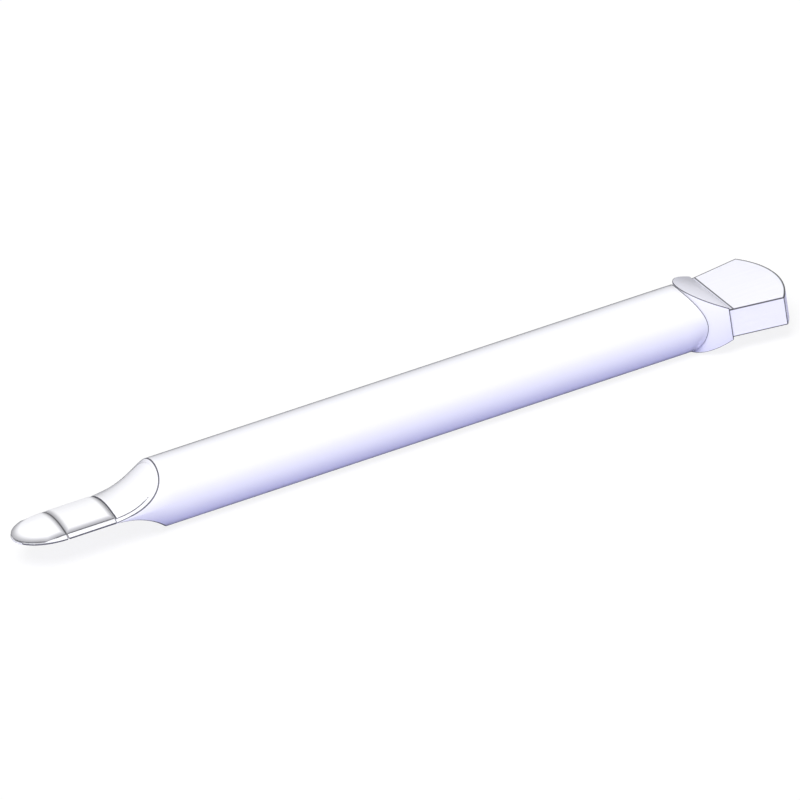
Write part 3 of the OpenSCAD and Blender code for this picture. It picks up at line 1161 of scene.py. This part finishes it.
@dataclass
class Brush:
    """The brush head's pieces that show: the collar and the trimmed fibres.

    All sizes are in millimetres. A fibre's stand-off is how far its corners reach past its grid
    point, as a share of its radius. The trim keeps the fibres inside their solid. The block's half
    width is given where it swells out of the collar, and is less by the draw-in at its root. Its
    first stretch past the collar's mouth, the shaded stretch, takes painted shade on its flat faces.
    """

    palette: Palette
    columns: int = 124
    rows: int = 33
    fibre_radius: float = 0.075
    stand_off: float = 1.1
    scatter: float = 0.0015
    raggedness: float = 0.03
    seed: int = 7
    trim: float = 0.02
    swell_half_width: float = 6.52
    draw_in: float = 0.13
    root_depth: float = 0.3
    end_radius: float = 14.3
    shaded_stretch: float = 0.6
    smooth_degrees: float = 60.0
    edges: EdgeBreak = EdgeBreak(width=0.2)
    edge_share: float = 0.6
    mouth_reach: float = 0.1

    def block_sizes(self) -> dict[str, float]:
        """Works out the bristle block's shape from its solid's box.

        Returns:
            The sizes that BLOCK_SIZES names.
        """
        low, high = (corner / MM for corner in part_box("bristles"))
        root_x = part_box("brush_collar")[1].x / MM - self.root_depth
        root_half = self.swell_half_width - self.draw_in
        centre_x = high.x - self.end_radius
        corner_x = centre_x + math.sqrt(self.end_radius ** 2 - high.y ** 2)
        flare = (high.y - self.trim - root_half) / (corner_x - root_x)
        return {
            "Root X": root_x, "Root Half Width": root_half, "Flare": flare,
            "End Centre X": centre_x - self.trim, "End Radius": self.end_radius,
            "Middle Z": (high.z + low.z) / 2, "Half Thickness": (high.z - low.z) / 2,
        }

    def bristles(self) -> None:
        """Fills the block with fibres and turns the result into one plain mesh."""
        sizes = self.block_sizes()
        nylon = self.palette.get("bristle_nylon")
        build = bundle_tree(nylon)
        piece = object_from("bristle_bundle", bmesh.new(), nylon)
        modifier = piece.modifiers.new("bundle", "NODES")
        modifier.node_group = build.tree
        outer = self.fibre_radius * self.stand_off
        values = sizes | {
            "Root Half Width": sizes["Root Half Width"] - outer,
            "Half Thickness": sizes["Half Thickness"] - outer,
            "Columns": self.columns, "Rows": self.rows, "Fibre Radius": self.fibre_radius,
            "Scatter": self.scatter, "Raggedness": self.raggedness, "Seed": self.seed,
        }
        for item in build.tree.interface.items_tree:
            if item.in_out == "INPUT":
                modifier[item.identifier] = values[item.name]
        bake_modifiers(piece)
        smooth_by_angle(piece, self.smooth_degrees)
        # The stretch past the collar's mouth, up to this end, takes painted shade.
        mouth_shade = {"Mouth Shade End": self.root_depth + self.shaded_stretch}
        set_inputs(nylon.node_tree.nodes[BLOCK_EDGES], sizes | mouth_shade)
        finish_piece(piece, "bristle_nylon", "brush_head", "bristles")

    def collar(self) -> None:
        """Makes the collar with its broken edges, widest at the two sides of the mouth."""
        piece = merged_copy("brush_collar", "brush_ferrule", self.palette.get("collar_satin"))
        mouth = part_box("brush_collar")[1].x / MM

        def full_at_mouth(first: Vector, second: Vector) -> float:
            """Breaks the mouth's two upright edges at full width and the others more finely.

            Args:
                first: One end of the edge, in millimetres.
                second: Its other end.

            Returns:
                The edge's share of the full width.
            """
            upright = abs(first.z - second.z) > abs(first.y - second.y)
            at_mouth = min(first.x, second.x) > mouth - self.mouth_reach
            return 1.0 if upright and at_mouth else self.edge_share

        self.edges.apply(piece, self.palette.get("painted_edge_shade"), full_at_mouth)
        finish_piece(piece, "collar_satin", "brush_head", "brush_collar")

    def build(self) -> None:
        """Makes the brush's pieces that show."""
        self.collar()
        self.bristles()


# --- Studio ---


@dataclass
class Studio:
    """The camera, one soft lamp, an even sky and a pale floor that shows as white.

    The directions point from the pen to the camera and to the lamp. The roll and the key's softness
    are in degrees. The target, the sensor and the floor's drop are in millimetres, and the other
    lengths in metres. The floor's glow is how much of it the camera sees as plain white, and what
    is left takes the pen's shadow.
    """

    toward: Point = (-0.3156, -0.8421, 0.4374)
    target: Point = (0.50, 0.05, 6.66)
    roll: float = 9.0
    distance: float = 2.0
    view_width: float = 0.1127
    sensor: float = 36.0
    sight: float = 20.0
    key_from: Point = (-0.32, -0.49, 0.81)
    key_strength: float = 1.0
    key_softness: float = 28.0
    sky: Colour = (0.335, 0.335, 0.35)
    bounce: Colour = (0.58, 0.58, 0.90)
    card: Colour = (0.02, 0.02, 0.022)
    white: Colour = (1.0, 1.0, 1.0)
    floor_white: Colour = (0.97, 0.97, 0.97)
    floor_glow: float = 0.86
    floor_half: float = 4.0
    floor_drop: float = 0.02

    def camera(self) -> None:
        """Sets the long-lens camera, rolled a little, so that the pen climbs to the right."""
        back = Vector(self.toward).normalized()
        level = Vector((0.0, 0.0, 1.0)).cross(back).normalized()
        upright = back.cross(level)
        turn = math.radians(self.roll)
        right = math.cos(turn) * level - math.sin(turn) * upright
        above = math.sin(turn) * level + math.cos(turn) * upright
        data = bpy.data.cameras.new("camera")
        data.sensor_width = self.sensor
        data.lens = self.sensor * self.distance / self.view_width
        data.clip_end = self.sight
        lens = bpy.data.objects.new("camera", data)
        place = Vector(self.target) * MM + back * self.distance
        lens.matrix_world = Matrix((
            (right.x, above.x, back.x, place.x), (right.y, above.y, back.y, place.y),
            (right.z, above.z, back.z, place.z), (0.0, 0.0, 0.0, 1.0),
        ))
        bpy.context.scene.collection.objects.link(lens)
        bpy.context.scene.camera = lens

    def key(self) -> None:
        """Adds the soft key light, from the front, the left and above."""
        data = bpy.data.lights.new("key", "SUN")
        data.energy = self.key_strength * math.pi
        data.angle = math.radians(self.key_softness)
        lamp = bpy.data.objects.new("key", data)
        lamp.rotation_euler = Vector(self.key_from).to_track_quat("Z", "Y").to_euler()
        bpy.context.scene.collection.objects.link(lamp)

    def floor(self) -> None:
        """Lays the floor: pale lilac to the pen, near white to the camera, and dark in reflections.

        The dark reflection does what black cards do in a light tent: it draws the pen's outline.
        The floor can't be seen from below, so the pen's underside can.
        """
        material = bpy.data.materials.new("studio floor")
        material.use_nodes = True
        tree = material.node_tree
        shader = tree.nodes["Principled BSDF"]
        set_inputs(shader, {
            "Base Color": (*self.bounce, 1.0), "Roughness": 0.9, "Specular IOR Level": 0.1,
        })
        path = add_node(tree, "ShaderNodeLightPath").outputs
        facing = add_node(tree, "ShaderNodeNewGeometry").outputs["Backfacing"]
        pale = add_node(tree, "ShaderNodeBsdfDiffuse", {"Color": (*self.floor_white, 1.0)})
        glow = add_node(tree, "ShaderNodeEmission", {"Color": (*self.white, 1.0), "Strength": 1.0})
        card = add_node(tree, "ShaderNodeBsdfDiffuse", {"Color": (*self.card, 1.0)})
        clear = add_node(tree, "ShaderNodeBsdfTransparent")
        seen = mix_shaders(tree, self.floor_glow, pale.outputs[0], glow.outputs[0])
        lighting = mix_shaders(tree, path["Is Glossy Ray"], shader.outputs[0], card.outputs[0])
        above = mix_shaders(tree, path["Is Camera Ray"], lighting, seen)
        sided = mix_shaders(tree, facing, above, clear.outputs[0])
        tree.links.new(sided, tree.nodes["Material Output"].inputs["Surface"])
        mesh = bmesh.new()
        bmesh.ops.create_grid(mesh, x_segments=1, y_segments=1, size=self.floor_half)
        bmesh.ops.translate(mesh, verts=mesh.verts, vec=(0.0, 0.0, -self.floor_drop * MM))
        object_from("floor", mesh, material)

    def world(self) -> None:
        """Lights the surroundings softly, and shows them as white."""
        world = bpy.data.worlds.new("studio")
        bpy.context.scene.world = world
        world.use_nodes = True
        tree = world.node_tree
        fill, seen = tree.nodes["Background"], add_node(tree, "ShaderNodeBackground")
        for light, colour in ((fill, self.sky), (seen, self.white)):
            set_inputs(light, {"Color": (*colour, 1.0), "Strength": 1.0})
        path = add_node(tree, "ShaderNodeLightPath").outputs
        mixed = mix_shaders(tree, path["Is Camera Ray"], fill.outputs[0], seen.outputs[0])
        tree.links.new(mixed, tree.nodes["World Output"].inputs["Surface"])

    def build(self) -> None:
        """Sets up the whole studio."""
        self.camera()
        self.floor()
        self.world()
        self.key()
        bpy.context.scene.view_settings.view_transform = "Standard"


# --- The pen ---


def dress_nodes(palette: Palette) -> None:
    """Gives every CAD node its finish, the hidden ones too.

    Args:
        palette: Where the materials come from.
    """
    for part in frame["record"]["subparts"]:
        mesh = frame["nodes"][part["node"]].data
        mesh.materials.clear()
        mesh.materials.append(palette.get(part["material_slot"]))


def main() -> None:
    """Builds the pen's pieces in order, then the studio."""
    logging.basicConfig(level=logging.INFO, format="%(name)s: %(message)s")
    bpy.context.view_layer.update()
    palette = Palette()
    dress_nodes(palette)
    for assembly in (Barrel(palette), Blade(palette), Brush(palette)):
        LOG.info("building %s", type(assembly).__name__)
        assembly.build()
    Studio().build()


if __name__ == "__main__":
    main()
